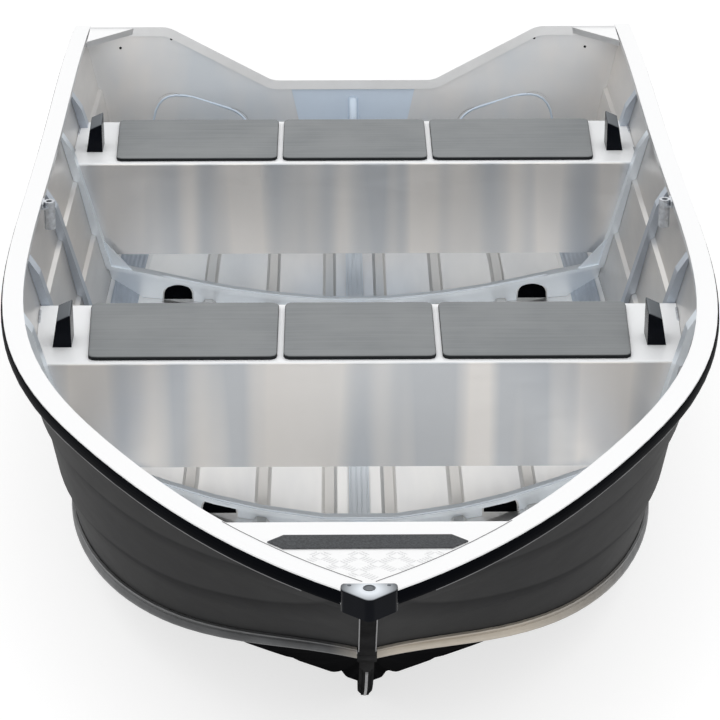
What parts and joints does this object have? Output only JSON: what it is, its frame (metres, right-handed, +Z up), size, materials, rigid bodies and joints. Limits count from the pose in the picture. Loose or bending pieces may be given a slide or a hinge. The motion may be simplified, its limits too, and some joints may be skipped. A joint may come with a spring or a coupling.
{
  "type": "rowing boat",
  "caption": "Small open rowing boat of pressed and welded aluminium sheet, with box thwarts, padded seats, a foredeck and a transom cut down for an outboard motor.",
  "frame": {"origin": "on the waterline, on the boat's centreline, near the middle of its length", "axes": "+Y towards the stern, +X to port, +Z up"},
  "size_m": [1.4456, 3.2243, 0.653],
  "materials": {
    "hull_skin": "dark satin outside, bare sheet inside",
    "bright_aluminium": "bright extruded",
    "satin_aluminium": "dull extruded",
    "bare_aluminium": "mill finish sheet",
    "tread_plate": "raised tread pattern",
    "black_rubber": "semi matt",
    "black_plastic": "moulded",
    "grip_tape": "gritty",
    "foam_pad": "closed cell foam with fine grain"
  },
  "bodies": {
    "root": {"bottom_sheet": "hull_skin", "side_port": "hull_skin", "side_starboard": "hull_skin", "transom_sheet": "hull_skin", "transom_cap": "bright_aluminium", "gunwale_port": "bright_aluminium", "gunwale_starboard": "bright_aluminium", "fender_port": "black_rubber", "fender_starboard": "black_rubber", "chine_rail_port": "satin_aluminium", "chine_rail_starboard": "satin_aluminium", "stem_bar": "satin_aluminium", "keel_bar": "satin_aluminium", "keelson": "bare_aluminium", "bow_cap": "black_plastic", "foredeck": "tread_plate", "deck_grip": "grip_tape", "thwart_forward": "bare_aluminium", "seat_pad_forward_port": "foam_pad", "seat_pad_forward_middle": "foam_pad", "seat_pad_forward_starboard": "foam_pad", "oar_rest_forward_port": "black_plastic", "oar_rest_forward_starboard": "black_plastic", "frame_forward": "bare_aluminium", "thwart_aft": "bare_aluminium", "seat_pad_aft_port": "foam_pad", "seat_pad_aft_middle": "foam_pad", "seat_pad_aft_starboard": "foam_pad", "oar_rest_aft_port": "black_plastic", "oar_rest_aft_starboard": "black_plastic", "frame_aft": "bare_aluminium", "rib_forward_port": "bare_aluminium", "rib_forward_starboard": "bare_aluminium", "rib_middle_port": "bare_aluminium", "rib_middle_starboard": "bare_aluminium", "rib_aft_port": "bare_aluminium", "rib_aft_starboard": "bare_aluminium", "rowlock_socket_port": "bright_aluminium", "rowlock_socket_starboard": "bright_aluminium", "corner_gusset_port": "bright_aluminium", "corner_gusset_starboard": "bright_aluminium", "motor_pad_inner": "bare_aluminium", "motor_pad_outer": "black_plastic", "transom_knee": "bare_aluminium", "drain_bung": "black_plastic"}
  },
  "joints": []
}
